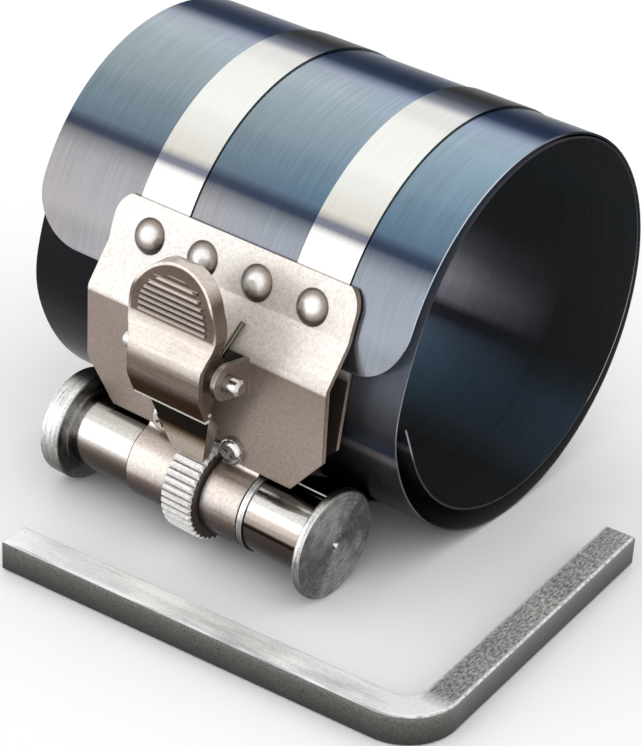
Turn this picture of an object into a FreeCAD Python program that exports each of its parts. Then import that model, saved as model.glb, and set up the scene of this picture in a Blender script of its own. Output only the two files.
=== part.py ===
"""Piston ring compressor: a wound spring-steel sleeve closed by two bands on a ratchet shaft.

Millimetres. X runs along the bore, Y points away from the ratchet mechanism, Z is up.
The origin is the centre of the round bore that takes the piston.
"""
import FreeCAD
import Part
import math
import os

# Sleeve: one strip of thin spring steel wound nearly two turns
turn_step = 2.65
sleeve_length = 80.0
sheet_t = 0.35
turn_y = -1.3
turn_z = -1.2
outer_turn_r = 35.95
flap_end_deg = 174.0
flap_corner_r = 10.0
dive_start_deg = 196.0
dive_in_r = 20.0
dive_out_r = 62.0
flat_tip_deg = 202.0
flat_tip_length = 7.5

# Mechanism: where its plates, lever and wheel are centred along X, and how far its pieces stand out
mech_x = 4.0
lever_x = 4.9
wheel_x = 5.5
shaft_reach = 4.05
plate_reach = 5.35
pin_reach = 5.6
pin_rise = 0.05

# Tension bands
band_width = 10.8
band_t = 0.3
band_offset = 17.0
band_lay = 0.02
band_end_deg = 170.0
land_deg = 20.0

# Shaft, its heads and the wound bands
head_r = 9.9
left_head_t = 4.1
right_head_t = 1.5
head_round = 0.5
dimple_r = 0.8
core_r = 5.0
journal_r = 6.1
journal_fit = 0.05
winding_r = 6.9
winding_width = 12.8
collar_r = 7.7
collar_t = 0.7
washer_r = 7.2
washer_t = 1.1
socket_side = 5.9
socket_depth = 9.0

# Ratchet wheel
teeth = 40
tooth_start = 0.1
tooth_end = 0.35
tooth_tip_r = 9.2
tooth_root_r = 8.45
wheel_half = 3.3
wheel_chamfer = 0.35

# Front plate: a clamp plate with two rolled loops, two lugs and a window
plate_t = 1.0
plate_half = 26.0
plate_top_deg = 152.0
plate_bend_deg = 165.8
plate_bend_rise = 2.15
plate_bottom_rise = 7.62
plate_side_rise = 7.35
plate_bottom_half = 19.8
plate_corner_r = 4.5
bend_r = 2.0
loop_half = 12.2
loop_wheel_gap = 0.4
crease_r = 1.3
tail_rise = 5.35
notch_rise = 2.75
lug_inner = 8.15
lug_t = 1.0
lug_r = 3.2
lug_root_drop = 4.65
lug_root_rise = 2.15
window_drop = 5.05
window_rise = 2.1

# Back plate, between the flap and the turn beneath it
back_t = 0.8
back_top_deg = 150.0
back_bend_deg = 171.0
back_rise = 4.85
back_chamfer = 3.5
under_flap_gap = 0.08

# Rivets and screws
rivet_deg = 160.7
rivet_offsets = (-17.6, -5.9, 5.9, 17.6)
rivet_head_r = 3.2
rivet_head_h = 1.9
rivet_r = 1.6
rivet_tail_r = 2.4
rivet_tail_h = 0.5
screw_offset = 7.55
screw_rise = 2.35
screw_head_r = 2.45
screw_head_h = 1.6
screw_head_round = 0.96
screw_turn_deg = 30.0
screw_r = 1.25
screw_recess_r = 1.25
screw_recess_w = 0.5
screw_recess_depth = 0.8
nut_flats = 4.6
screw_end = 0.4
nut_t = 1.6
hole_fit = 0.05

# Pivot pin
pin_r = 1.5
pin_left = -12.9
pin_right = 12.3
pin_round = 0.9
pin_chamfer = 0.5
pin_fit = 0.05

# Pawl lever and the ribbed thumb cover on it
cover_half = 7.8
thumb_half = 9.4
sheet_gap = 0.4
skirt_gap = 0.15
skirt_low_rise = 6.5
cover_t = 1.1
lever_t = 1.2
channel_half = 6.7
thumb_top_rise = 18.95
thumb_low_rise = 8.45
waist_rise = 3.15
cover_drop = 7.05
pawl_half = 2.9
pawl_deg = 122.0
pawl_gap = 0.3
pawl_overrun = 1.6
taper_drop = 7.65
rib_count = 7
rib_pitch = 1.08
rib_width = 0.5
rib_height = 0.3
rib_side_margin = 2.2

# Lever outline seen from the side, as steps from the pin: its front line and its flanges' rear
lever_outline_points = [(-1.6, 19.4), (-3.4, 13.6), (-3.4, 8.9), (-5.5, 2.2), (-5.5, -2.4), (-2.4, -9.5)]
lever_outline_radii = [6.0, 12.0, 8.0, 5.0, 8.0]
flange_rear_points = [(-3.0, 9.6), (-0.2, 5.2), (2.6, 1.8), (2.6, -1.4), (0.3, -3.8), (-0.9, -6.0), (-0.7, -7.6)]
flange_foot_points = [(0.3, 7.9), (0.9, 6.0), (1.0, -1.6)]

# Torsion spring
wire_r = 0.5
coil_turns = 2
coil_gap = 0.12
coil_clear = 0.15
side_clear = 1.2
near_tip_rise = 6.55
near_tip_slant = 1.6
far_leg_deg = 170.0
far_leg_length = 4.4

# Loose square key
key_side = 5.7
key_corner_x = 70.8
key_corner_y = -66.6
key_yaw_deg = 4.7
key_long = 83.4
key_short = 67.7
key_inner_r = 4.0
key_edge_r = 0.45

# Clearances shared by several pieces
face_gap = 0.3
touch_gap = 0.03

# Worked out from the sizes above
half_length = sleeve_length / 2.0
bore_r = outer_turn_r - turn_step
cut_depth = 2.0 * outer_turn_r
turn_centre = (turn_y, turn_z)
bore_centre = (0.0, 0.0)
band_in_r = outer_turn_r + band_lay
band_out_r = band_in_r + band_t
floor_z = turn_z - band_out_r
shaft_y = turn_y - outer_turn_r - shaft_reach
shaft_z = floor_z + head_r
shaft_centre = (shaft_y, shaft_z)
plate_front_y = turn_y - outer_turn_r - plate_reach
plate_bend_z = turn_z + plate_bend_rise
plate_bottom_z = shaft_z + plate_bottom_rise
plate_side_z = plate_bottom_z + plate_side_rise
notch_top_z = plate_bottom_z + notch_rise
tail_top_z = plate_bottom_z + tail_rise
screw_z = plate_bottom_z + screw_rise
back_bottom_z = plate_bottom_z + back_rise
pin_y = plate_front_y - pin_reach
pin_z = turn_z + pin_rise
pin_centre = (pin_y, pin_z)
thumb_top_z = pin_z + thumb_top_rise
thumb_low_z = pin_z + thumb_low_rise
waist_z = pin_z + waist_rise
cover_low_z = pin_z - cover_drop
taper_top_z = pin_z - taper_drop
near_tip_z = pin_z + near_tip_rise
plate_in_r = band_out_r + touch_gap
plate_out_r = plate_in_r + plate_t
loop_in_r = journal_r + journal_fit
loop_mid_r = loop_in_r + plate_t / 2.0
back_out_r = outer_turn_r - sheet_t - under_flap_gap
back_in_r = back_out_r - back_t
loop_low_x = lever_x - loop_half
loop_high_x = lever_x + loop_half
left_winding_x = loop_low_x - face_gap - winding_width
left_head_x = left_winding_x - touch_gap - collar_t
washer_x = loop_high_x + face_gap
right_winding_x = washer_x + washer_t + touch_gap
right_head_x = right_winding_x + winding_width + touch_gap


def polar(centre, radius, degrees):
    """Point at an angle about a centre in the YZ plane, from +Y towards +Z."""
    turn = math.radians(degrees)
    return (centre[0] + radius * math.cos(turn), centre[1] + radius * math.sin(turn))


def angle_of(centre, point):
    return math.degrees(math.atan2(point[1] - centre[1], point[0] - centre[0]))


def vec(x, point):
    return FreeCAD.Vector(x, point[0], point[1])


def line(start, end):
    return {"start": start, "end": end}


def arc(centre, radius, first_deg, last_deg):
    """Arc from one angle to another; a falling angle runs clockwise."""
    return {"centre": centre, "radius": radius, "first": first_deg, "last": last_deg}


def offset_ends(piece, shift):
    """Start, middle and end of a piece moved to the left of its travel by shift."""
    if "centre" in piece:
        side = -1.0 if piece["last"] > piece["first"] else 1.0
        radius = piece["radius"] + side * shift
        middle = (piece["first"] + piece["last"]) / 2.0
        return [polar(piece["centre"], radius, d) for d in (piece["first"], middle, piece["last"])]
    along = (piece["end"][0] - piece["start"][0], piece["end"][1] - piece["start"][1])
    size = math.hypot(*along)
    move = (-along[1] / size * shift, along[0] / size * shift)
    start = (piece["start"][0] + move[0], piece["start"][1] + move[1])
    end = (piece["end"][0] + move[0], piece["end"][1] + move[1])
    return [start, None, end]


def offset_edge(piece, shift, x):
    start, middle, end = offset_ends(piece, shift)
    if middle is None:
        return Part.makeLine(vec(x, start), vec(x, end))
    return Part.Arc(vec(x, start), vec(x, middle), vec(x, end)).toShape()


def strip(path, left, right, x_low, x_high):
    """Sheet that follows a path in the YZ plane and spans x_low to x_high."""
    edges = [offset_edge(piece, left, x_low) for piece in path]
    last_left = offset_ends(path[-1], left)[2]
    last_right = offset_ends(path[-1], -right)[2]
    first_left = offset_ends(path[0], left)[0]
    first_right = offset_ends(path[0], -right)[0]
    edges.append(Part.makeLine(vec(x_low, last_left), vec(x_low, last_right)))
    edges += [offset_edge(piece, -right, x_low) for piece in reversed(path)]
    edges.append(Part.makeLine(vec(x_low, first_right), vec(x_low, first_left)))
    face = Part.Face(Part.Wire(Part.__sortEdges__(edges)))
    return face.extrude(FreeCAD.Vector(x_high - x_low, 0, 0))


def rounded(points, radii):
    """Path through corner points, each inner corner rounded with its own radius."""
    path = []
    here = points[0]
    for before, corner, after, radius in zip(points, points[1:], points[2:], radii):
        toward = unit(corner, before)
        away = unit(corner, after)
        dot = toward[0] * away[0] + toward[1] * away[1]
        half = math.acos(max(-1.0, min(1.0, dot))) / 2.0
        reach = radius / math.tan(half)
        first = (corner[0] + toward[0] * reach, corner[1] + toward[1] * reach)
        last = (corner[0] + away[0] * reach, corner[1] + away[1] * reach)
        middle = unit((0, 0), (toward[0] + away[0], toward[1] + away[1]))
        far = radius / math.sin(half)
        centre = (corner[0] + middle[0] * far, corner[1] + middle[1] * far)
        start_deg = angle_of(centre, first)
        sweep = (angle_of(centre, last) - start_deg + 180.0) % 360.0 - 180.0
        path.append(line(here, first))
        path.append(arc(centre, radius, start_deg, start_deg + sweep))
        here = last
    path.append(line(here, points[-1]))
    return path


def unit(origin, target):
    dy = target[0] - origin[0]
    dz = target[1] - origin[1]
    size = math.hypot(dy, dz)
    return (dy / size, dz / size)


def meet(centre_a, radius_a, centre_b, radius_b, side):
    """One of the two points at given distances from two centres."""
    apart = math.hypot(centre_b[0] - centre_a[0], centre_b[1] - centre_a[1])
    along = (apart ** 2 + radius_a ** 2 - radius_b ** 2) / (2.0 * apart)
    off = side * math.sqrt(radius_a ** 2 - along ** 2)
    ey, ez = unit(centre_a, centre_b)
    return (centre_a[0] + along * ey - off * ez, centre_a[1] + along * ez + off * ey)


def cylinder(x_low, x_high, radius, centre=shaft_centre):
    place = FreeCAD.Vector(x_low, centre[0], centre[1])
    return Part.makeCylinder(radius, x_high - x_low, place, FreeCAD.Vector(1, 0, 0))


def prism(points, direction):
    """Straight-sided block from corner points and an extrusion."""
    loop = Part.makePolygon([FreeCAD.Vector(*p) for p in points + points[:1]])
    return Part.Face(loop).extrude(FreeCAD.Vector(*direction))


def box(x_low, x_high, y_low, y_high, z_low, z_high):
    corner = FreeCAD.Vector(x_low, y_low, z_low)
    return Part.makeBox(x_high - x_low, y_high - y_low, z_high - z_low, corner)


def rivet_axis():
    turn = math.radians(rivet_deg)
    return FreeCAD.Vector(0, math.cos(turn), math.sin(turn))


def radial_rod(x, radius, r_low, r_high):
    """Round rod that stands on the outer turn at the rivet line."""
    out = rivet_axis()
    foot = vec(x, turn_centre) + out * r_low
    return Part.makeCylinder(radius, r_high - r_low, foot, out)


def rivet_holes(offsets, r_low, r_high):
    rods = [radial_rod(mech_x + d, rivet_r + hole_fit, r_low, r_high) for d in offsets]
    return Part.makeCompound(rods)


def sleeve():
    mid_out = outer_turn_r - sheet_t / 2.0
    mid_in = bore_r + sheet_t / 2.0
    over = dive_start_deg - 360.0
    half_way = (flap_end_deg + over) / 2.0
    dive_point = polar(turn_centre, mid_out, dive_start_deg)
    steer = unit(dive_point, turn_centre)
    tight = (dive_point[0] + steer[0] * dive_in_r, dive_point[1] + steer[1] * dive_in_r)
    flat = meet(tight, dive_out_r - dive_in_r, bore_centre, dive_out_r - mid_in, -1.0)
    leave_tight = angle_of(flat, tight)
    leave_flat = angle_of(flat, bore_centre)
    land = leave_flat % 360.0
    start_tight = dive_start_deg
    end_tight = leave_tight % 360.0
    tip_deg = flat_tip_deg - 360.0
    tip_start = polar(bore_centre, mid_in, flat_tip_deg)
    tip_turn = math.radians(flat_tip_deg)
    tip = (tip_start[0] + flat_tip_length * math.sin(tip_turn),
           tip_start[1] - flat_tip_length * math.cos(tip_turn))
    path = [
        arc(turn_centre, mid_out, flap_end_deg, half_way),
        arc(turn_centre, mid_out, half_way, over),
        arc(tight, dive_in_r, start_tight, end_tight),
        arc(flat, dive_out_r, end_tight, land),
        arc(bore_centre, mid_in, land, (land + tip_deg) / 2.0),
        arc(bore_centre, mid_in, (land + tip_deg) / 2.0, tip_deg),
        line(tip_start, tip),
    ]
    body = strip(path, sheet_t / 2.0, sheet_t / 2.0, -half_length, half_length)
    for side in (-1.0, 1.0):
        body = body.cut(flap_corner(side))
    return body.cut(rivet_holes(rivet_offsets, outer_turn_r - 2 * sheet_t, outer_turn_r + sheet_t))


def flap_corner(side):
    """Waste outside the rounded corner at one end of the flap."""
    low_z = polar(turn_centre, outer_turn_r, flap_end_deg)[1]
    square = box(0, 1.1 * flap_corner_r, -2 * outer_turn_r, 0, -0.1 * flap_corner_r, flap_corner_r)
    base = FreeCAD.Vector(0, -2 * outer_turn_r, flap_corner_r)
    keep = Part.makeCylinder(flap_corner_r, 2 * outer_turn_r, base, FreeCAD.Vector(0, 1, 0))
    waste = square.cut(keep)
    if side < 0:
        waste = waste.mirror(FreeCAD.Vector(0, 0, 0), FreeCAD.Vector(1, 0, 0))
    waste.translate(FreeCAD.Vector(side * (half_length - flap_corner_r), 0, low_z))
    ring_in = cylinder(-half_length - 2.0, half_length + 2.0, outer_turn_r - 1.2 * sheet_t, turn_centre)
    ring_out = cylinder(-half_length - 2.0, half_length + 2.0, outer_turn_r + 1.0, turn_centre)
    return waste.common(ring_out.cut(ring_in))


def band(side):
    """Band round the sleeve, its free span and its first contact over the drum."""
    x_mid = mech_x + side * band_offset
    mid_r = band_in_r + band_t / 2.0
    drum_mid = winding_r + face_gap + band_t / 2.0
    apart = math.hypot(shaft_y - turn_y, shaft_z - turn_z)
    toward = angle_of(turn_centre, shaft_centre) % 360.0
    swing = math.degrees(math.acos((mid_r + drum_mid) / apart))
    leave_deg = toward + swing
    leave = polar(turn_centre, mid_r, leave_deg)
    land_start = leave_deg - 180.0
    land = polar(shaft_centre, drum_mid, land_start)
    over = leave_deg - 360.0
    half_way = (band_end_deg + over) / 2.0
    wrap = [arc(turn_centre, mid_r, band_end_deg, half_way), arc(turn_centre, mid_r, half_way, over)]
    low = x_mid - band_width / 2.0
    high = x_mid + band_width / 2.0
    body = strip(wrap, band_t / 2.0, band_t / 2.0, low, high)
    body = body.cut(rivet_holes(rivet_offsets, outer_turn_r - sheet_t, plate_out_r))
    winding_low = winding_start(side) + (winding_width - band_width) / 2.0
    splay = winding_low - low
    normal = unit(leave, turn_centre)
    span_t = band_t / 2.0
    corners = []
    for point, shift in ((leave, 0.0), (land, splay)):
        for x in (low + shift, high + shift):
            corners.append((x, point[0] + normal[0] * span_t, point[1] + normal[1] * span_t))
    quad = [corners[0], corners[1], corners[3], corners[2]]
    span = prism(quad, (0, -normal[0] * band_t, -normal[1] * band_t))
    touch = [arc(shaft_centre, drum_mid, land_start, land_start + land_deg)]
    end = strip(touch, span_t, span_t, winding_low, winding_low + band_width)
    return body.fuse([span, end]).removeSplitter()


def winding_start(side):
    if side < 0:
        return left_winding_x
    return right_winding_x


def front_plate():
    """Plate with its rivet row, the lugs for the lever pin and two rolled loops for the shaft."""
    half = plate_t / 2.0
    mid_r = plate_out_r - half
    wall_y = plate_front_y + half
    bend = polar(turn_centre, mid_r, plate_bend_deg)
    upper = [arc(turn_centre, mid_r, plate_top_deg, plate_bend_deg)]
    lower = rounded([bend, (wall_y, plate_bend_z), (wall_y, plate_bottom_z)], [bend_r])
    low = mech_x - plate_half
    high = mech_x + plate_half
    body = strip(upper, half, half, low, high).fuse(strip(lower, half, half, low, high))
    body = body.common(plate_outline())
    y_low = plate_front_y - plate_t
    y_high = plate_front_y + 6.0 * plate_t
    slot = wheel_half + loop_wheel_gap
    notch = box(wheel_x - slot, wheel_x + slot, y_low, y_high, plate_bottom_z - 1.0, notch_top_z)
    window = box(lever_x - lug_inner, lever_x + lug_inner, y_low, y_high,
                 pin_z - window_drop, pin_z + window_rise)
    body = body.cut(Part.makeCompound([notch, window]))
    pieces = [loop_tab(side) for side in (-1.0, 1.0)] + [lug(side) for side in (-1.0, 1.0)]
    body = body.fuse(pieces).removeSplitter()
    body = body.cut(rivet_holes(rivet_offsets, outer_turn_r - sheet_t, plate_out_r + plate_t))
    return body.cut(screw_holes(plate_front_y - 1.0, plate_front_y + 3.0 * plate_t))


def plate_outline():
    """Outline of the front plate seen from the front, as a block along Y."""
    top_z = polar(turn_centre, plate_out_r, plate_top_deg)[1] + plate_t / 2.0
    corners = [(-plate_half, top_z), (plate_half, top_z), (plate_half, plate_side_z),
               (plate_bottom_half, plate_bottom_z), (-plate_bottom_half, plate_bottom_z),
               (-plate_half, plate_side_z)]
    y = plate_front_y - 2.0 * plate_t
    block = prism([(mech_x + x, y, z) for x, z in corners], (0, cut_depth, 0))
    upper = [e for e in block.Edges
             if abs(e.CenterOfMass.z - top_z) < 0.01 and abs(e.CenterOfMass.x - mech_x) > plate_t]
    return block.makeFillet(plate_corner_r, upper)


def loop_tab(side):
    """Tab that rolls round the shaft and comes back up behind the plate."""
    wall_y = plate_front_y + plate_t / 2.0
    tail_y = wall_y + plate_t + touch_gap
    reach = loop_mid_r + crease_r
    front_y = wall_y - crease_r
    front_z = shaft_z + math.sqrt(reach ** 2 - (front_y - shaft_y) ** 2)
    rear_y = tail_y + crease_r
    rear_z = shaft_z + math.sqrt(reach ** 2 - (rear_y - shaft_y) ** 2)
    front = (front_y, front_z)
    rear = (rear_y, rear_z)
    roll_start = angle_of(shaft_centre, front)
    roll_end = angle_of(shaft_centre, rear) + 360.0
    path = [
        line((wall_y, plate_bottom_z + plate_t), (wall_y, front_z)),
        arc(front, crease_r, 0.0, roll_start - 180.0),
        arc(shaft_centre, loop_mid_r, roll_start, (roll_start + roll_end) / 2.0),
        arc(shaft_centre, loop_mid_r, (roll_start + roll_end) / 2.0, roll_end),
        arc(rear, crease_r, roll_end - 180.0, 180.0),
        line((tail_y, rear_z), (tail_y, tail_top_z)),
    ]
    slot = wheel_half + loop_wheel_gap
    ends = sorted((wheel_x + side * slot, lever_x + side * loop_half))
    return strip(path, plate_t / 2.0, plate_t / 2.0, ends[0], ends[1])


def lug(side):
    """Ear bent out of the plate, rounded about the lever pin."""
    x_low = min(side * lug_inner, side * (lug_inner + lug_t)) + lever_x
    root_y = plate_front_y + plate_t / 2.0
    top = (pin_y, pin_z + lug_r)
    front = (pin_y - lug_r, pin_z)
    low = (pin_y, pin_z - lug_r)
    root_high = (root_y, pin_z + lug_root_rise)
    root_low = (root_y, pin_z - lug_root_drop)
    edges = [
        Part.makeLine(vec(x_low, root_high), vec(x_low, top)),
        Part.Arc(vec(x_low, top), vec(x_low, front), vec(x_low, low)).toShape(),
        Part.makeLine(vec(x_low, low), vec(x_low, root_low)),
        Part.makeLine(vec(x_low, root_low), vec(x_low, root_high)),
    ]
    ear = Part.Face(Part.Wire(edges)).extrude(FreeCAD.Vector(lug_t, 0, 0))
    return ear.cut(cylinder(x_low - 1.0, x_low + lug_t + 1.0, pin_r + pin_fit, pin_centre))


def screw_holes(y_low, y_high):
    rods = []
    for side in (-1.0, 1.0):
        foot = FreeCAD.Vector(mech_x + side * screw_offset, y_low, screw_z)
        rods.append(Part.makeCylinder(screw_r + hole_fit, y_high - y_low, foot, FreeCAD.Vector(0, 1, 0)))
    return Part.makeCompound(rods)


def back_plate():
    """Inner clamp plate, curved under the flap and flat below it."""
    mid_r = (back_in_r + back_out_r) / 2.0
    bend = polar(turn_centre, mid_r, back_bend_deg)
    turn = math.radians(back_bend_deg)
    drop = (bend[1] - back_bottom_z) / -math.cos(turn)
    foot = (bend[0] - drop * math.sin(turn), back_bottom_z)
    path = [arc(turn_centre, mid_r, back_top_deg, back_bend_deg), line(bend, foot)]
    half = back_t / 2.0
    body = strip(path, half, half, mech_x - plate_half, mech_x + plate_half)
    waste = []
    low_z = back_bottom_z - back_t
    leg = 2.0 * back_t + back_chamfer
    for side in (-1.0, 1.0):
        x = mech_x + side * (plate_half + back_t)
        y = bend[0] - cut_depth / 2.0
        wedge = [(x, y, low_z), (x - side * leg, y, low_z), (x, y, low_z + leg)]
        waste.append(prism(wedge, (0, cut_depth, 0)))
    body = body.cut(Part.makeCompound(waste))
    return body.cut(rivet_holes(rivet_offsets, back_in_r - 1.0, outer_turn_r))


def rivets():
    solids = []
    out = rivet_axis()
    base_r = plate_out_r + touch_gap
    tail_r = math.sqrt(back_in_r ** 2 - rivet_tail_r ** 2) - touch_gap
    ball_r = (rivet_head_r ** 2 + rivet_head_h ** 2) / (2.0 * rivet_head_h)
    for offset in rivet_offsets:
        x = mech_x + offset
        middle = vec(x, turn_centre) + out * (base_r + rivet_head_h - ball_r)
        ball = Part.makeSphere(ball_r, middle)
        head = ball.common(radial_rod(x, rivet_head_r, base_r, base_r + rivet_head_h + 0.5))
        shank = radial_rod(x, rivet_r, tail_r, base_r)
        tail = radial_rod(x, rivet_tail_r, tail_r - rivet_tail_h, tail_r)
        solids.append(head.fuse([shank, tail]).removeSplitter())
    return Part.makeCompound(solids)


def screws():
    solids = []
    along = FreeCAD.Vector(0, 1, 0)
    for side in (-1.0, 1.0):
        x = mech_x + side * screw_offset
        seat = FreeCAD.Vector(x, plate_front_y - touch_gap, screw_z)
        head = Part.makeCylinder(screw_head_r, screw_head_h, seat - along * screw_head_h, along)
        head = head.makeFillet(screw_head_round, [e for e in head.Edges if e.CenterOfMass.y < seat.y - 0.01
                                                    and len(e.Vertexes) == 1])
        reach = 2.0 * plate_t + 3.0 * touch_gap + nut_t + screw_end
        shank = Part.makeCylinder(screw_r, reach, seat, along)
        cross = []
        for turn in (0.0, 90.0):
            arm = box(-screw_recess_r, screw_recess_r, -0.1, screw_recess_depth,
                      -screw_recess_w / 2.0, screw_recess_w / 2.0)
            arm.rotate(FreeCAD.Vector(0, 0, 0), along, turn + screw_turn_deg * side)
            arm.translate(seat - along * screw_head_h)
            cross.append(arm)
        solids.append(head.cut(Part.makeCompound(cross)).fuse(shank).removeSplitter())
    return Part.makeCompound(solids)


def nuts():
    solids = []
    along = FreeCAD.Vector(0, 1, 0)
    rear = plate_front_y + 2.0 * plate_t + 2.0 * touch_gap
    for side in (-1.0, 1.0):
        x = mech_x + side * screw_offset
        corner_r = nut_flats / math.sqrt(3.0)
        ring = []
        for k in range(6):
            turn = math.radians(60.0 * k)
            ring.append((x + corner_r * math.cos(turn), rear, screw_z + corner_r * math.sin(turn)))
        body = prism(ring, (0, nut_t, 0))
        hole = Part.makeCylinder(screw_r, nut_t, FreeCAD.Vector(x, rear, screw_z), along)
        solids.append(body.cut(hole))
    return Part.makeCompound(solids)


def pivot_pin():
    """Plain pin through both lugs, domed at one end and cut with a chamfer at the other."""
    left = lever_x + pin_left
    right = lever_x + pin_right
    rod = cylinder(left, right, pin_r, pin_centre)
    rod = rod.makeFillet(pin_round, [e for e in rod.Edges if abs(e.CenterOfMass.x - left) < 0.01])
    return rod.makeChamfer(pin_chamfer, [e for e in rod.Edges if abs(e.CenterOfMass.x - right) < 0.01])


def lever_front():
    """Front line of the lever, from the thumb end down past the pawl tip."""
    points = [(pin_y + dy, pin_z + dz) for dy, dz in lever_outline_points]
    aim = polar(shaft_centre, tooth_tip_r, pawl_deg)
    back_off = cover_t + sheet_gap + lever_t / 2.0
    points.append((aim[0] - back_off + pawl_overrun / 2.0, aim[1] - 2.0 * pawl_overrun))
    return rounded(points, lever_outline_radii)


def lever_shape(inset, low_z, low_half, side_z):
    """Front view of the lever as a block along Y, drawn in all round by an inset."""
    y = pin_y - cut_depth / 2.0
    wide = thumb_half - inset
    narrow = cover_half - inset
    round_z = thumb_top_z - thumb_half
    centre = FreeCAD.Vector(lever_x, y, round_z)
    disc = Part.makeCylinder(wide, cut_depth, centre, FreeCAD.Vector(0, 1, 0))
    half_ring = [(wide, round_z), (wide, thumb_low_z), (narrow, waist_z),
                 (narrow, side_z), (low_half, low_z)]
    ring = half_ring + [(-x, z) for x, z in reversed(half_ring)]
    return prism([(lever_x + x, y, z) for x, z in ring], (0, cut_depth, 0)).fuse(disc)


def thumb_cover():
    """Ribbed sheet over the lever, round at the thumb end and turned back there as a skirt."""
    low = lever_x - thumb_half
    high = lever_x + thumb_half
    shape = lever_shape(0.0, cover_low_z, cover_half, cover_low_z + cover_t)
    face = strip(lever_front(), cover_t, 0.0, low, high).common(shape)
    deep = strip(lever_front(), cover_t + sheet_gap + lever_t, 0.0, low, high)
    skirt_low_z = pin_z + skirt_low_rise
    hollow = lever_shape(cover_t, cover_low_z, cover_half, cover_low_z + cover_t)
    above = box(low, high, pin_y - cut_depth, pin_y + cut_depth, skirt_low_z, thumb_top_z)
    skirt = deep.common(shape).common(above).cut(hollow)
    return face.fuse([skirt] + ribs()).removeSplitter()


def ribs():
    """Raised bars across the thumb end, shorter towards the round edge."""
    bars = []
    round_z = thumb_top_z - thumb_half
    for k in range(rib_count):
        z = thumb_low_z + (k + 0.5) * rib_pitch
        rise = max(0.0, z + rib_width - round_z)
        half = math.sqrt(thumb_half ** 2 - rise ** 2) - rib_side_margin
        skin = strip(lever_front(), rib_height, rib_height, lever_x - half, lever_x + half)
        slab = box(lever_x - half, lever_x + half, pin_y - pin_reach, pin_y, z, z + rib_width)
        bars.append(skin.common(slab))
    return bars


def pawl_lever():
    """Channel under the cover: it carries the pin holes and narrows to the pawl tip."""
    inner = cover_t + sheet_gap
    low = lever_x - thumb_half
    high = lever_x + thumb_half
    tip = polar(shaft_centre, tooth_tip_r + pawl_gap, pawl_deg)
    foot_z = tip[1] + flange_foot_points[-1][1]
    web = strip(lever_front(), inner + lever_t, -inner, low, high)
    inset = cover_t + skirt_gap
    web = web.common(lever_shape(inset, foot_z, pawl_half, taper_top_z))
    rear = [(pin_y + dy, pin_z + dz) for dy, dz in flange_rear_points]
    rear += [(tip[0] + dy, tip[1] + dz) for dy, dz in flange_foot_points]
    front_y = pin_y - cut_depth / 2.0
    rear += [(front_y, rear[-1][1]), (front_y, rear[0][1])]
    block = prism([(low, y, z) for y, z in rear], (high - low, 0, 0))
    depth = block.cut(strip(lever_front(), inner, cut_depth, low, high))
    behind = block.cut(strip(lever_front(), inner + lever_t, cut_depth, low, high))
    hollow = channel_shape(channel_half - lever_t, pawl_half - lever_t, foot_z)
    channel = depth.common(channel_shape(channel_half, pawl_half, foot_z)).cut(behind.common(hollow))
    body = web.fuse(channel).removeSplitter()
    wheel_room = cylinder(low, high, tooth_tip_r + pawl_gap)
    pin_hole = cylinder(low, high, pin_r + pin_fit, pin_centre)
    return body.cut(Part.makeCompound([wheel_room, pin_hole]))


def channel_shape(half, low_half, foot_z):
    """Front view of the lever's channel as a block along Y, tapering to the pawl."""
    y = pin_y - cut_depth / 2.0
    half_ring = [(half, thumb_top_z), (half, taper_top_z), (low_half, foot_z)]
    ring = half_ring + [(-x, z) for x, z in reversed(half_ring)]
    return prism([(lever_x + x, y, z) for x, z in ring], (0, cut_depth, 0))


def spring():
    """Torsion spring round the pin: one leg bears on the plate, the other on the lever."""
    coil_r = pin_r + coil_clear + wire_r
    tip = near_leg_tip()
    apart = math.hypot(tip[0] - pin_y, tip[1] - pin_z)
    start_deg = angle_of(pin_centre, tip) - math.degrees(math.acos(coil_r / apart))
    sweep = 360.0 * (coil_turns + 1) + start_deg - far_leg_deg
    pitch = 2.0 * wire_r + coil_gap
    x_high = lever_x + channel_half - lever_t - side_clear - wire_r
    helix = Part.makeHelix(pitch, pitch * sweep / 360.0, coil_r)
    helix.rotate(FreeCAD.Vector(0, 0, 0), FreeCAD.Vector(0, 1, 0), -90)
    helix.rotate(FreeCAD.Vector(0, 0, 0), FreeCAD.Vector(1, 0, 0), start_deg - 90.0)
    helix.translate(FreeCAD.Vector(x_high, pin_y, pin_z))
    start_edge = helix.Edges[0]
    start = start_edge.valueAt(start_edge.FirstParameter)
    end_edge = helix.Edges[-1]
    end = end_edge.valueAt(end_edge.LastParameter)
    section = Part.makeCircle(wire_r, start, start_edge.tangentAt(start_edge.FirstParameter))
    coil = Part.Wire(helix.Edges).makePipeShell([Part.Wire(section)], True, True)
    up = polar((0, 0), far_leg_length, far_leg_deg - 90.0)
    near = wire_end(start, vec(x_high + near_tip_slant, tip))
    far = wire_end(end, end + FreeCAD.Vector(0, up[0], up[1]))
    return coil.fuse([near, far])


def near_leg_tip():
    """Where the near leg's tip lies against the sloping part of the front plate."""
    half = plate_t / 2.0
    bend = polar(turn_centre, plate_out_r - half, plate_bend_deg)
    knee = (plate_front_y + half, plate_bend_z)
    slope = unit(knee, bend)
    lift = half + wire_r + touch_gap
    foot = (knee[0] - slope[1] * lift, knee[1] + slope[0] * lift)
    rise = (near_tip_z - foot[1]) / slope[1]
    return (foot[0] + rise * slope[0], near_tip_z)


def wire_end(foot, tip):
    """Straight wire with a slightly larger ball where it meets the coil."""
    along = tip - foot
    rod = Part.makeCylinder(wire_r, along.Length, foot, along)
    return rod.fuse(Part.makeSphere(wire_r + touch_gap, foot))


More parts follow.
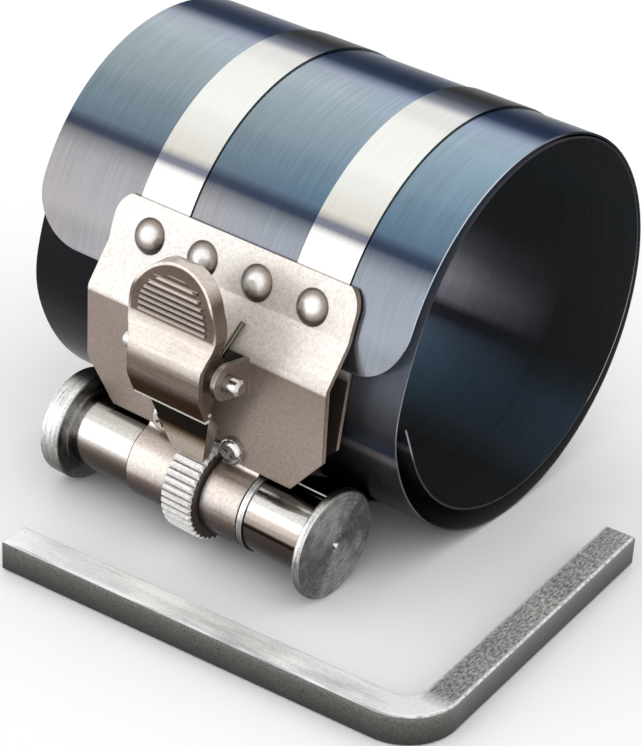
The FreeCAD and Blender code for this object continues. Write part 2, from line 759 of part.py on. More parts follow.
def shaft():
    """Round shaft with two journals and a square drive socket in its left end."""
    left = left_head_x - left_head_t
    body = cylinder(left, right_head_x, core_r)
    journal = cylinder(loop_low_x - face_gap / 2.0, loop_high_x + face_gap / 2.0, journal_r)
    body = body.fuse(journal).removeSplitter()
    half = socket_side / 2.0
    socket = box(left - 1.0, left + socket_depth, shaft_y - half, shaft_y + half,
                 shaft_z - half, shaft_z + half)
    return body.cut(socket)


def head(x_low, x_high, hole_r):
    disc = cylinder(x_low, x_high, head_r)
    disc = disc.makeFillet(head_round, [e for e in disc.Edges if len(e.Vertexes) == 1])
    if hole_r:
        return disc.cut(cylinder(x_low - 1.0, x_high + 1.0, hole_r))
    return disc


def left_head():
    return head(left_head_x - left_head_t, left_head_x, core_r + touch_gap)


def right_head():
    disc = head(right_head_x, right_head_x + right_head_t, 0.0)
    face_x = right_head_x + right_head_t
    tip = FreeCAD.Vector(face_x - dimple_r, shaft_y, shaft_z)
    dimple = Part.makeCone(0.0, dimple_r, dimple_r, tip, FreeCAD.Vector(1, 0, 0))
    return disc.cut(dimple)


def ratchet():
    """Wheel with one-way teeth: a steep face towards the pawl when the shaft tries to unwind."""
    pitch = 360.0 / teeth
    x = wheel_x - wheel_half
    ring = []
    for k in range(teeth):
        turn = k * pitch
        ring.append(vec(x, polar(shaft_centre, tooth_root_r, turn)))
        ring.append(vec(x, polar(shaft_centre, tooth_tip_r, turn + tooth_start * pitch)))
        ring.append(vec(x, polar(shaft_centre, tooth_tip_r, turn + tooth_end * pitch)))
    body = Part.Face(Part.makePolygon(ring + ring[:1])).extrude(FreeCAD.Vector(2.0 * wheel_half, 0, 0))
    bound = cylinder(x, x + 2.0 * wheel_half, tooth_tip_r + 0.01)
    bound = bound.makeChamfer(wheel_chamfer, [e for e in bound.Edges if len(e.Vertexes) == 1])
    bore = cylinder(x, x + 2.0 * wheel_half, journal_r + touch_gap)
    return body.common(bound).cut(bore)


def ring_on_shaft(x_low, width, outer, inner):
    return cylinder(x_low, x_low + width, outer).cut(cylinder(x_low, x_low + width, inner + touch_gap))


def winding(side):
    return ring_on_shaft(winding_start(side), winding_width, winding_r, core_r)


def collar():
    return ring_on_shaft(left_head_x + touch_gap, collar_t - touch_gap, collar_r, core_r)


def washer():
    return ring_on_shaft(washer_x, washer_t, washer_r, core_r)


def key():
    """Square bar bent once, lying flat; its outer corner sits at the named point."""
    side = key_side
    outer_r = key_inner_r + side
    turn = (-outer_r, outer_r)
    low = [FreeCAD.Vector(-key_long, 0, 0), FreeCAD.Vector(-outer_r, 0, 0)]
    mid_out = outer_r * math.sqrt(0.5)
    mid_in = key_inner_r * math.sqrt(0.5)
    edges = [
        Part.makeLine(low[0], low[1]),
        Part.Arc(low[1], FreeCAD.Vector(turn[0] + mid_out, turn[1] - mid_out, 0),
                 FreeCAD.Vector(0, outer_r, 0)).toShape(),
        Part.makeLine(FreeCAD.Vector(0, outer_r, 0), FreeCAD.Vector(0, key_short, 0)),
        Part.makeLine(FreeCAD.Vector(0, key_short, 0), FreeCAD.Vector(-side, key_short, 0)),
        Part.makeLine(FreeCAD.Vector(-side, key_short, 0), FreeCAD.Vector(-side, outer_r, 0)),
        Part.Arc(FreeCAD.Vector(-side, outer_r, 0),
                 FreeCAD.Vector(turn[0] + mid_in, turn[1] - mid_in, 0),
                 FreeCAD.Vector(-outer_r, side, 0)).toShape(),
        Part.makeLine(FreeCAD.Vector(-outer_r, side, 0), FreeCAD.Vector(-key_long, side, 0)),
        Part.makeLine(FreeCAD.Vector(-key_long, side, 0), low[0]),
    ]
    bar = Part.Face(Part.Wire(edges)).extrude(FreeCAD.Vector(0, 0, side))
    bar = bar.makeFillet(key_edge_r, [e for e in bar.Edges if abs(e.CenterOfMass.z - side / 2.0) > 0.1])
    bar.rotate(FreeCAD.Vector(0, 0, 0), FreeCAD.Vector(0, 0, 1), key_yaw_deg)
    bar.translate(FreeCAD.Vector(key_corner_x, key_corner_y, floor_z))
    return bar


def save(name, shape):
    shape.exportStep("parts/" + name + ".step")
    print(name, "solids", len(shape.Solids), "volume", round(shape.Volume, 1), "valid", shape.isValid())


os.makedirs("parts", exist_ok=True)
save("compression_sleeve", sleeve())
save("left_tension_band", band(-1.0))
save("right_tension_band", band(1.0))
save("front_plate", front_plate())
save("back_plate", back_plate())
save("plate_rivets", rivets())
save("clamp_screws", screws())
save("clamp_nuts", nuts())
save("pivot_pin", pivot_pin())
save("thumb_cover", thumb_cover())
save("pawl_lever", pawl_lever())
save("pawl_spring", spring())
save("winding_shaft", shaft())
save("left_drive_head", left_head())
save("right_head", right_head())
save("ratchet_wheel", ratchet())
save("left_band_winding", winding(-1.0))
save("right_band_winding", winding(1.0))
save("left_collar", collar())
save("right_washer", washer())
save("square_key", key())
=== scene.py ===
import math
import bpy
from mathutils import Matrix, Vector


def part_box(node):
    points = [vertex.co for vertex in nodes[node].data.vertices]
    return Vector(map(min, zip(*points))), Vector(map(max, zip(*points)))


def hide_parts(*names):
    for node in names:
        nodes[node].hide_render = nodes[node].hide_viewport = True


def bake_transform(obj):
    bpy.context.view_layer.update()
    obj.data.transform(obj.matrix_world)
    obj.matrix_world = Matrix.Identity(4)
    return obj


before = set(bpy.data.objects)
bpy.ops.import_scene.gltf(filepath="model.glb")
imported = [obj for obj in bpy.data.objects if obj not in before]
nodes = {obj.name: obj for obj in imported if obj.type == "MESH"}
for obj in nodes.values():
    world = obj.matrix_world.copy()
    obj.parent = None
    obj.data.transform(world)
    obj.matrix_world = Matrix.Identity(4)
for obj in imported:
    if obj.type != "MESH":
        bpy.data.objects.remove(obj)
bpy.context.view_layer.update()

# Looks of a piston ring compressor with its key: materials, a copy of the spring, floor, light and camera
scene = bpy.context.scene


def middle(name):
    """Centre of a piece's box."""
    low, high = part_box(name)
    return [(a + b) / 2.0 for a, b in zip(low, high)]


# Places and sizes are in metres. X runs along the bore to the open end in view, Y away from the ratchet,
# Z up. Angles about X are in degrees: 0 at +Y, 90 up, 180 at -Y.

# Sleeve: its half length, the centre of its outer turn, and the radius that parts it from the inner turn
SLEEVE_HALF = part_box("compression_sleeve")[1].x
TURN_CENTRE = (0.0, -0.0013, -0.0012)
TURNS_PART_R = 0.0353

# Shaft and wheel: the line they turn on, the slant of the painted reflection fans on end faces, and the
# teeth
SHAFT_LINE = (0.0, *middle("right_head")[1:])
FAN_SLANT = math.radians(108.0)
wheel_low, wheel_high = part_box("ratchet_wheel")
WHEEL_TIP_R = (wheel_high.z - wheel_low.z) / 2.0
WHEEL_ROOT_R = WHEEL_TIP_R - 0.00075

# Clamp plates: the back plate's foremost face, where the lugs leave the front plate, the top of the
# rolled loops, the heights of the bend, and the stretches in which the painted light and shade change along
# Z and X
BACK_FACE_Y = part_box("back_plate")[0].y
LUG_ROOT_Y = BACK_FACE_Y - 0.0025
LOOP_TOP_Z = -0.0205
BEND_Z = (0.0005, 0.0025)
FADE_Z = (-0.024, 0.010)
FADE_X = (-0.014, 0.012)

# Thumb cover: its lower edge, the pawl's tip and root below that edge, and the round pad, whose heights
# are measured from the pad's own lower edge. Its ribs begin and end at heights counted in rib pitches.
cover_low, cover_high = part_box("thumb_cover")
COVER_LOW_Z = cover_low.z
PAWL_BELOW = (-0.0085, -0.0055)
COVER_R = (cover_high.x - cover_low.x) / 2.0
PAD_R = COVER_R - 0.0009
PAD_DROP = 0.0011
PAD_CENTRE = ((cover_low.x + cover_high.x) / 2.0, 0.0, cover_high.z - COVER_R)
RIB_PITCH = 0.00108
RIB_REACH = COVER_R - 0.0022
FIRST_RIB, LAST_RIB = 0.35, 7.6

# Rivets: the way that the painted highlights in the middles of their domes face
RIVET_HIGHLIGHT_AIM = tuple(Vector((0.22, -0.84, 0.50)).normalized())

# Key: the side of its square, the outer corner of its bend, how far it is turned on the floor, and, from
# that corner, where its long arm begins, where its far end pales, and where its short arm begins
KEY_SIDE = 0.0057
KEY_CORNER = (0.0708, -0.0666, 0.0)
KEY_TURN = math.radians(4.7)
KEY_LOW_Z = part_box("square_key")[0].z
LONG_ARM_X = (-0.012, -0.007)
FAR_END_X = (-0.078, -0.055)
SHORT_ARM_Y = (0.006, 0.010)

# Stage: the floor lies just under the key, the lowest piece. The surroundings light the object a little
# more strongly than the plain white that the camera sees.
FLOOR_Z = KEY_LOW_Z - 0.00005
FLOOR_HALF = 4.0
SOFT_LIGHT = 1.03
PLAIN_WHITE = 1.0

# The photograph's camera: place, turn and lens, found from the object's known lines
CAMERA_PLACE = (0.244508, -0.329126, 0.215107)
AZIMUTH = math.radians(36.98)
ELEVATION = math.radians(30.439)
ROLL = math.radians(3.448)
FOCAL_PIXELS = 2606.931
PHOTO_HEIGHT_PIXELS = 746.0
SENSOR_MM = 36.0

# Metallic where mirror images would blot the metal: DULL on the sleeve's lining and its shaded lower half,
# SATIN on the plates, the lever's sides and the rivets
DULL = 0.2
SATIN = 0.45

# The range that most of a noise lies in, and its middle part
NOISE_RANGE = (0.3, 0.7)
NOISE_MIDDLE = (0.35, 0.65)

# How far a normal leans towards X where the tone of cut ends and sides begins, and where it is full
SIDE_LEANS = (0.6, 0.85)

BLACK = (0.0, 0.0, 0.0)
WHITE = (1.0, 1.0, 1.0)
WARMER = (0.97, 0.93, 0.89)

# Painted light and shade: tones go round X by the way a surface faces. Their seam lies half a turn from
# MIDDLE_DEG, low at the back.
MIDDLE_DEG = 135.0
SHEET_PAINTED_SHADING = [
    (10, (0.50, 0.48, 0.46)), (50, (0.26, 0.24, 0.22)), (84, (0.20, 0.18, 0.17)),
    (100, (0.30, 0.26, 0.24)), (116, (0.52, 0.47, 0.44)), (134, (0.86, 0.83, 0.80)),
    (140, (1.0, 0.99, 0.98)), (150, WHITE), (170, WHITE), (175, (0.80, 0.76, 0.73)),
    (180, (0.335, 0.285, 0.26)), (184, (0.22, 0.185, 0.17)), (192, (0.12, 0.10, 0.09)),
    (205, (0.050, 0.043, 0.039)), (225, (0.040, 0.036, 0.034)), (280, (0.12, 0.11, 0.10))]
LEVER_PAINTED_SHADING = [
    (10, (0.50, 0.48, 0.46)), (50, (0.70, 0.68, 0.66)), (84, (0.95, 0.94, 0.92)), (120, WHITE),
    (164, WHITE), (171, (0.80, 0.77, 0.75)), (176, (0.43, 0.39, 0.36)), (181, (0.22, 0.185, 0.17)),
    (190, (0.15, 0.122, 0.112)), (205, (0.10, 0.084, 0.076)), (222, (0.065, 0.056, 0.051)),
    (280, (0.040, 0.036, 0.033))]
ROUND_PAINTED_SHADING = [
    (10, (0.34, 0.32, 0.30)), (60, (0.18, 0.15, 0.14)), (86, (0.15, 0.13, 0.12)),
    (101, (0.11, 0.11, 0.11)), (111, (0.36, 0.34, 0.32)), (120, (0.64, 0.64, 0.62)),
    (130, (0.84, 0.84, 0.82)), (140, (1.0, 1.0, 0.99)), (161, WHITE), (166, (0.60, 0.56, 0.53)),
    (171, (0.28, 0.23, 0.20)), (180, (0.11, 0.09, 0.08)), (195, (0.060, 0.050, 0.046)),
    (215, (0.035, 0.032, 0.030)), (240, (0.022, 0.021, 0.020)), (290, (0.08, 0.08, 0.08))]
TURNED_PAINTED_SHADING = [
    (10, (0.40, 0.40, 0.39)), (70, (0.12, 0.12, 0.12)), (95, (0.13, 0.14, 0.14)),
    (108, (0.40, 0.39, 0.37)), (120, (0.70, 0.70, 0.68)), (150, (0.88, 0.87, 0.86)),
    (165, (0.76, 0.75, 0.74)), (185, (0.36, 0.35, 0.33)), (205, (0.14, 0.14, 0.13)),
    (235, (0.035, 0.034, 0.032)), (290, (0.10, 0.10, 0.10))]


class Mat:
    """Node material in the making: its methods add nodes and give back their outputs."""

    def __init__(self, name):
        self.mat = bpy.data.materials.new(name)
        self.mat.use_nodes = True
        self.tree = self.mat.node_tree
        self.shader = self.tree.nodes["Principled BSDF"]
        self.place = self.tree.nodes.new("ShaderNodeTexCoord").outputs["Object"]
        self.normal = self.tree.nodes.new("ShaderNodeNewGeometry").outputs["Normal"]

    def new(self, kind, **settings):
        node = self.tree.nodes.new(kind)
        for key, value in settings.items():
            setattr(node, key, value)
        return node

    def put(self, socket, value):
        """Link an output to a socket, or give the socket a number, a vector or a colour."""
        if isinstance(value, bpy.types.NodeSocket):
            self.tree.links.new(value, socket)
        elif socket.type == "RGBA" and len(value) == 3:
            socket.default_value = (*value, 1.0)
        else:
            socket.default_value = value

    def set(self, name, value):
        """The same for one of the shader's own sockets."""
        self.put(self.shader.inputs[name], value)

    def math(self, operation, a, b=None):
        node = self.new("ShaderNodeMath", operation=operation)
        self.put(node.inputs[0], a)
        if b is not None:
            self.put(node.inputs[1], b)
        return node.outputs[0]

    def times(self, a, b):
        return self.math("MULTIPLY", a, b)

    def length(self, a, b):
        """Length of the flat vector a, b."""
        return self.math("SQRT", self.math("ADD", self.times(a, a), self.times(b, b)))

    def weighted(self, a, b, share):
        """Sum of a and b in which a has the given share."""
        return self.math("ADD", self.times(a, share), self.times(b, 1.0 - share))

    def split(self, vector):
        node = self.new("ShaderNodeSeparateXYZ")
        self.put(node.inputs[0], vector)
        return node.outputs

    def join(self, x, y, z):
        node = self.new("ShaderNodeCombineXYZ")
        for socket, value in zip(node.inputs, (x, y, z)):
            self.put(socket, value)
        return node.outputs[0]

    def vector(self, operation, a, b):
        node = self.new("ShaderNodeVectorMath", operation=operation)
        self.put(node.inputs[0], a)
        self.put(node.inputs[1], b)
        return node.outputs["Value" if operation == "DOT_PRODUCT" else "Vector"]

    def place_from(self, point):
        """Place measured from a point."""
        return self.vector("SUBTRACT", self.place, point)

    def turned(self, vector, axis, angle):
        node = self.new("ShaderNodeVectorRotate", rotation_type=axis)
        self.put(node.inputs["Vector"], vector)
        node.inputs["Angle"].default_value = angle
        return node.outputs[0]

    def noise(self, vector, scale, detail=2.0, rough=0.5):
        node = self.new("ShaderNodeTexNoise")
        self.put(node.inputs["Vector"], vector)
        node.inputs["Scale"].default_value = scale
        node.inputs["Detail"].default_value = detail
        node.inputs["Roughness"].default_value = rough
        return node.outputs["Fac"]

    def grain(self, vector, scales, detail=3.0, rough=0.6):
        """Noise with its own scale along each axis."""
        return self.noise(self.vector("MULTIPLY", vector, scales), 1.0, detail, rough)

    def spread(self, value, low, high, a=0.0, b=1.0):
        """Carry the range low to high over to a to b, and hold it there."""
        node = self.new("ShaderNodeMapRange")
        self.put(node.inputs[0], value)
        for socket, number in zip(node.inputs[1:5], (low, high, a, b)):
            socket.default_value = number
        return node.outputs[0]

    def mix(self, factor, a, b, mode="MIX"):
        node = self.new("ShaderNodeMix", data_type="RGBA", blend_type=mode)
        self.put(node.inputs[0], factor)
        self.put(node.inputs[6], a)
        self.put(node.inputs[7], b)
        return node.outputs[2]

    def tinted(self, colour, tint):
        """Two colours multiplied."""
        return self.mix(1.0, colour, tint, "MULTIPLY")

    def shaded(self, colour, value):
        """Colour times a plain number."""
        return self.tinted(colour, self.join(value, value, value))

    def ramp(self, value, low, high, stops):
        """Colour by a value: each stop is a share of the way from low to high."""
        node = self.new("ShaderNodeValToRGB")
        self.put(node.inputs[0], self.spread(value, low, high))
        row = node.color_ramp.elements
        while len(row) < len(stops):
            row.new(0.5)
        for element, (at, colour) in zip(row, stops):
            element.position = at
            element.color = (*colour, 1.0)
        return node.outputs[0]

    def round_x(self, vector, stops):
        """Colour by a vector's angle about X: each stop is an angle in degrees."""
        parts = self.split(self.turned(vector, "X_AXIS", math.radians(-MIDDLE_DEG)))
        angle = self.math("ARCTAN2", parts[2], parts[1])
        shares = [((deg - MIDDLE_DEG) / 360.0 + 0.5, colour) for deg, colour in stops]
        return self.ramp(angle, -math.pi, math.pi, shares)

    def sideways(self, a=0.0, b=1.0, leans=SIDE_LEANS):
        """Number that goes from a to b as the surface turns to face along X."""
        lean = self.math("ABSOLUTE", self.split(self.normal)[0])
        return self.spread(lean, *leans, a, b)

    def ends(self, colour, end_colour, leans=SIDE_LEANS):
        """Another colour where the surface faces along X."""
        return self.mix(self.sideways(leans=leans), colour, end_colour)

    def bump(self, height, strength, distance, edge=0.0):
        """Fine relief, and rounded edges where a radius is given."""
        node = self.new("ShaderNodeBump")
        node.inputs["Strength"].default_value = strength
        node.inputs["Distance"].default_value = distance
        self.put(node.inputs["Height"], height)
        if edge:
            soft = self.new("ShaderNodeBevel", samples=4)
            soft.inputs["Radius"].default_value = edge
            self.put(node.inputs["Normal"], soft.outputs[0])
        self.set("Normal", node.outputs[0])

    def finish(self, colour, roughness, metallic=1.0):
        self.set("Base Color", colour)
        self.set("Roughness", roughness)
        self.set("Metallic", metallic)
        return self.mat


def brush_lines(m, across, along, detail=4.0):
    """Noise drawn out into lines that run round the bore."""
    parts = m.split(m.place_from(TURN_CENTRE))
    angle = m.math("ARCTAN2", parts[1], parts[2])
    return m.grain(m.join(parts[0], angle, 0.0), (across, along, 0.0), detail)


def sleeve_upper(m):
    """Outside above, by the way it faces: blue steel with painted reflections, teal over the top, a dark
    streak, and lilac grey on the flap.
    """
    return m.round_x(m.normal, [
        (-20, (0.020, 0.022, 0.026)), (25, (0.060, 0.080, 0.105)), (58, (0.016, 0.017, 0.021)),
        (82, (0.020, 0.022, 0.032)), (87.5, (0.050, 0.062, 0.105)), (93.5, (0.42, 0.46, 0.56)),
        (98, (0.41, 0.47, 0.53)), (106, (0.30, 0.365, 0.41)), (118, (0.225, 0.285, 0.33)),
        (131, (0.165, 0.235, 0.295)), (137.2, (0.125, 0.175, 0.235)), (138.4, (0.050, 0.062, 0.098)),
        (141.2, (0.044, 0.054, 0.085)), (142.2, (0.15, 0.155, 0.175)), (147, (0.26, 0.257, 0.278)),
        (165, (0.31, 0.305, 0.325)), (176, (0.42, 0.41, 0.44)), (260, (0.018, 0.020, 0.026))])


def sleeve_lower(m, across, from_turn):
    """Outside below, in painted shade: near black on the left, dark grey with a thin painted reflection
    line on the right.
    """
    left = m.round_x(from_turn, [
        (150, (0.018, 0.019, 0.025)), (178, (0.010, 0.010, 0.012)), (190, (0.006, 0.006, 0.006)),
        (300, (0.006, 0.006, 0.006))])
    right = m.round_x(from_turn, [
        (150, (0.11, 0.11, 0.13)), (176, (0.10, 0.10, 0.118)), (184, (0.050, 0.048, 0.054)),
        (190, (0.026, 0.026, 0.030)), (194, (0.022, 0.030, 0.050)), (196.2, (0.19, 0.16, 0.165)),
        (198.5, (0.036, 0.031, 0.031)), (212, (0.012, 0.012, 0.013)), (300, (0.010, 0.010, 0.011))])
    return m.mix(m.spread(across, 0.5 * SLEEVE_HALF, SLEEVE_HALF, 0.0, 1.15), left, right)


def sleeve_lining(m, across):
    """Inside: painted reflections, a blue zone and a lilac streak, in near black, which fade towards the
    open end in view.
    """
    deep = m.round_x(m.normal, [
        (40, (0.034, 0.033, 0.032)), (90, (0.036, 0.034, 0.032)), (104, (0.060, 0.068, 0.078)),
        (116, (0.12, 0.185, 0.255)), (132, (0.18, 0.25, 0.36)), (137.2, (0.13, 0.17, 0.26)),
        (138.6, (0.045, 0.050, 0.075)), (142.4, (0.042, 0.044, 0.062)), (145, (0.40, 0.38, 0.46)),
        (152, (0.62, 0.59, 0.70)), (162, (0.19, 0.19, 0.22)), (172, (0.050, 0.050, 0.055)),
        (184, (0.042, 0.042, 0.041)), (215, (0.046, 0.046, 0.044))])
    at_mouth = m.round_x(m.normal, [
        (60, (0.026, 0.025, 0.024)), (95, (0.026, 0.026, 0.026)), (108, (0.045, 0.055, 0.068)),
        (126, (0.050, 0.068, 0.095)), (136, (0.036, 0.040, 0.048)), (142, (0.030, 0.031, 0.033)),
        (165, (0.038, 0.038, 0.040)), (215, (0.044, 0.044, 0.042))])
    towards_mouth = m.ramp(across, 0.0, 0.75 * SLEEVE_HALF, [
        (0.0, BLACK), (0.25, (0.35, 0.35, 0.35)), (0.5, (0.70, 0.70, 0.70)), (0.9, WHITE)])
    return m.mix(towards_mouth, deep, at_mouth)


def sleeve_rims(m, from_turn, on_inner):
    """Cut ends of the strip, by the way they face: painted light over the top of the outer turn, painted
    shade with lighter painted highlights within.
    """
    outer = m.round_x(from_turn, [
        (-40, (0.055, 0.052, 0.055)), (20, (0.035, 0.035, 0.038)), (78, (0.035, 0.035, 0.038)),
        (92, (0.30, 0.31, 0.34)), (112, (0.68, 0.72, 0.80)), (165, (0.60, 0.66, 0.75)),
        (190, (0.15, 0.16, 0.185)), (225, (0.050, 0.050, 0.054)), (300, (0.045, 0.044, 0.043))])
    inner = m.round_x(from_turn, [
        (-64, (0.09, 0.085, 0.08)), (-50, (0.30, 0.25, 0.245)), (-15, (0.26, 0.21, 0.21)),
        (5, (0.045, 0.045, 0.045)), (60, (0.020, 0.020, 0.020)), (150, (0.022, 0.022, 0.024)),
        (188, (0.30, 0.30, 0.31)), (197, (0.34, 0.33, 0.32)), (202, (0.065, 0.063, 0.060)),
        (230, (0.030, 0.029, 0.028)), (290, (0.035, 0.033, 0.032))])
    return m.mix(on_inner, outer, inner)


def blued_steel():
    """Blued spring steel of the sleeve: outside, lining and cut ends, with brush lines round the bore."""
    m = Mat("blued_steel")
    across = m.split(m.place)[0]
    from_turn = m.vector("MULTIPLY", m.place_from(TURN_CENTRE), (0.0, 1.0, 1.0))
    reach = m.math("SQRT", m.vector("DOT_PRODUCT", from_turn, from_turn))

    # Painted shade: the inner turn is dark wherever it shows, and so is the outer one below its front
    on_inner = m.spread(reach, TURNS_PART_R - 0.0004, TURNS_PART_R, 1.0, 0.0)
    below = m.round_x(from_turn, [(-45, BLACK), (-44, BLACK), (174.3, BLACK), (174.6, WHITE), (314, WHITE)])
    dark = m.math("MAXIMUM", on_inner, below)
    outside = m.mix(dark, sleeve_upper(m), sleeve_lower(m, across, from_turn))
    facing_out = m.vector("DOT_PRODUCT", from_turn, m.normal)
    inside = m.spread(facing_out, -0.002, -0.012)
    colour = m.mix(inside, outside, sleeve_lining(m, across))

    fine = brush_lines(m, 6500.0, 2.5)
    broad = brush_lines(m, 900.0, 1.2, 2.0)
    drift = m.noise(m.place, 22.0)
    to_right = m.spread(across, -0.9 * SLEEVE_HALF, 0.9 * SLEEVE_HALF)
    colour = m.tinted(colour, m.mix(to_right, (1.12, 1.06, 0.99), (0.92, 0.98, 1.0)))
    colour = m.mix(m.spread(drift, 0.42, 0.62, 0.0, 0.30), colour, m.tinted(colour, (0.70, 0.95, 1.20)))
    colour = m.shaded(colour, m.spread(m.weighted(fine, broad, 0.75), 0.32, 0.68, 0.82, 1.18))

    # The inside of the outer turn, seen as a thin crescent between the turns at the open end, a lighter
    # grey as painted light where the inner turn shades it
    crescent = m.times(inside, m.spread(reach, TURNS_PART_R, TURNS_PART_R + 0.0002))
    colour = m.mix(crescent, colour, (0.065, 0.066, 0.068))
    colour = m.ends(colour, sleeve_rims(m, from_turn, on_inner))
    m.bump(fine, 0.12, 0.00001)
    m.set("Specular Tint", (0.45, 0.48, 0.55))
    m.set("Specular IOR Level", 0.12)
    metallic = m.spread(m.math("MAXIMUM", inside, dark), 0.0, 1.0, 1.0, DULL)
    return m.finish(colour, m.spread(broad, *NOISE_RANGE, 0.18, 0.26), metallic)


def bright_band():
    """Bright strip with a faint grain along its length and dark cut edges, in painted light and shade by
    the way it faces: dark near the top and below, with a painted dark reflection streak across the bright
    front.
    """
    m = Mat("bright_band")
    colour = m.round_x(m.normal, [
        (20, (0.45, 0.45, 0.43)), (60, (0.16, 0.15, 0.14)), (78, (0.065, 0.068, 0.075)),
        (86, (0.13, 0.15, 0.19)), (90.5, (0.35, 0.37, 0.43)), (93.5, (0.90, 0.89, 0.88)),
        (100, (0.80, 0.80, 0.76)), (116, (0.77, 0.78, 0.745)), (128, (0.84, 0.84, 0.80)),
        (137.4, (0.72, 0.69, 0.62)), (138.6, (0.20, 0.21, 0.26)), (141.2, (0.20, 0.21, 0.26)),
        (142.4, (0.88, 0.86, 0.84)), (172, (0.80, 0.78, 0.76)), (180, (0.24, 0.21, 0.19)),
        (215, (0.07, 0.065, 0.06)), (270, (0.12, 0.12, 0.12))])
    fine = brush_lines(m, 7000.0, 3.0)
    colour = m.shaded(colour, m.spread(fine, *NOISE_RANGE, 0.93, 1.07))
    m.bump(fine, 0.10, 0.00001)
    m.set("Specular Tint", (0.35, 0.34, 0.33))
    return m.finish(m.ends(colour, (0.13, 0.15, 0.14)), m.spread(fine, *NOISE_RANGE, 0.20, 0.28))


def plated_colour_and_painted_shade(m, colour, ends, tones=SHEET_PAINTED_SHADING, contrast=1.0):
    """Colour of plating: it drifts to a warmer one, and takes painted light and shade from the way it
    faces.
    """
    tones = [(at, tuple(1.0 - contrast * (1.0 - c) for c in tint)) for at, tint in tones]
    warm = tuple(c * k for c, k in zip(colour, WARMER))
    drift = m.spread(m.noise(m.place, 55.0), *NOISE_MIDDLE)
    return m.tinted(m.mix(drift, colour, warm), m.ends(m.round_x(m.normal, tones), ends))


def plate_finish(m, colour, roughness, edge=0.0, mottling=0.12, metallic=1.0):
    """Fine grit of the plating over a colour, a coarser mottle, and rounded edges where edge is given."""
    grit = m.noise(m.place, 2600.0, 3.0, 0.7)
    mottle = m.noise(m.place, 1500.0, 2.0, 0.6)
    m.bump(grit, 0.08, 0.00001, edge)
    marks = m.spread(m.weighted(grit, mottle, 0.5), *NOISE_MIDDLE, 1.0 - mottling, 1.0 + mottling)
    shine = m.spread(grit, *NOISE_RANGE, roughness - 0.03, roughness + 0.05)
    return m.finish(m.shaded(colour, marks), shine, metallic)


def plated(name, colour, ends, roughness, edge=0.0, contrast=1.0):
    """Small plated piece."""
    m = Mat(name)
    return plate_finish(m, plated_colour_and_painted_shade(m, colour, ends, SHEET_PAINTED_SHADING, contrast), roughness, edge)


def winding():
    """Wound band in painted light and shade: a wide painted highlight streak on the left one, a narrow one
    on the right.
    """
    m = Mat("winding_bright")
    wide = plated_colour_and_painted_shade(m, (0.88, 0.87, 0.85), (0.12, 0.11, 0.10), ROUND_PAINTED_SHADING)
    narrow = m.tinted(wide, m.round_x(m.normal, [
        (20, (0.9, 0.9, 0.9)), (132, WHITE), (147, (0.95, 0.95, 0.95)), (152, (0.55, 0.50, 0.47)),
        (161, (0.42, 0.36, 0.33)), (168, (0.75, 0.70, 0.68)), (200, (0.80, 0.76, 0.74))]))
    on_right = m.spread(m.split(m.place)[0], 0.0, 0.001)
    return plate_finish(m, m.mix(on_right, wide, narrow), 0.12)


def plate_sheet():
    """Clamp plates: brown cut edges, darker on lugs, painted light and shade by height that darkens the
    loops, and painted shade, near black, behind the front plate.
    """
    m = Mat("plate_nickel")
    across, forward, height = m.split(m.place)
    on_plate = m.spread(forward, LUG_ROOT_Y - 0.0004, LUG_ROOT_Y)
    edges = m.mix(on_plate, (0.22, 0.185, 0.165), (0.34, 0.27, 0.23))
    colour = plated_colour_and_painted_shade(m, (0.87, 0.84, 0.815), edges)
    # Painted light and shade by height, growing from left to right: darker on the loops and at the fold,
    # lighter just above each
    fade = m.ramp(height, *FADE_Z, [
        (0.0, (0.84, 0.80, 0.78)), (0.10, (0.84, 0.80, 0.78)), (0.132, (1.50, 1.50, 1.50)),
        (0.47, (1.22, 1.22, 1.22)), (0.676, (0.94, 0.93, 0.92)), (0.75, (0.86, 0.85, 0.84)),
        (0.788, (1.08, 1.08, 1.08)), (0.93, (1.07, 1.07, 1.07)), (1.0, WHITE)])
    colour = m.tinted(colour, m.mix(m.spread(across, *FADE_X), (1.04, 1.04, 1.04), fade))

    # Painted shade: near black on the back plate below the bend, behind the front plate
    below_bend = m.times(m.spread(height, *BEND_Z, 1.0, 0.0), m.sideways(1.0, 0.0))
    behind = m.times(m.spread(height, LOOP_TOP_Z - 0.0001, LOOP_TOP_Z + 0.0001),
                     m.spread(forward, BACK_FACE_Y - 0.0002, BACK_FACE_Y - 0.0001))
    colour = m.mix(m.times(below_bend, behind), colour, (0.045, 0.036, 0.031))

    loops_or_sheet = m.spread(height, LOOP_TOP_Z - 0.0005, LOOP_TOP_Z + 0.0005, 0.85, SATIN)
    metallic = m.times(loops_or_sheet, m.sideways(1.0, 0.4))
    return plate_finish(m, colour, 0.31, 0.0002, 0.18, metallic)


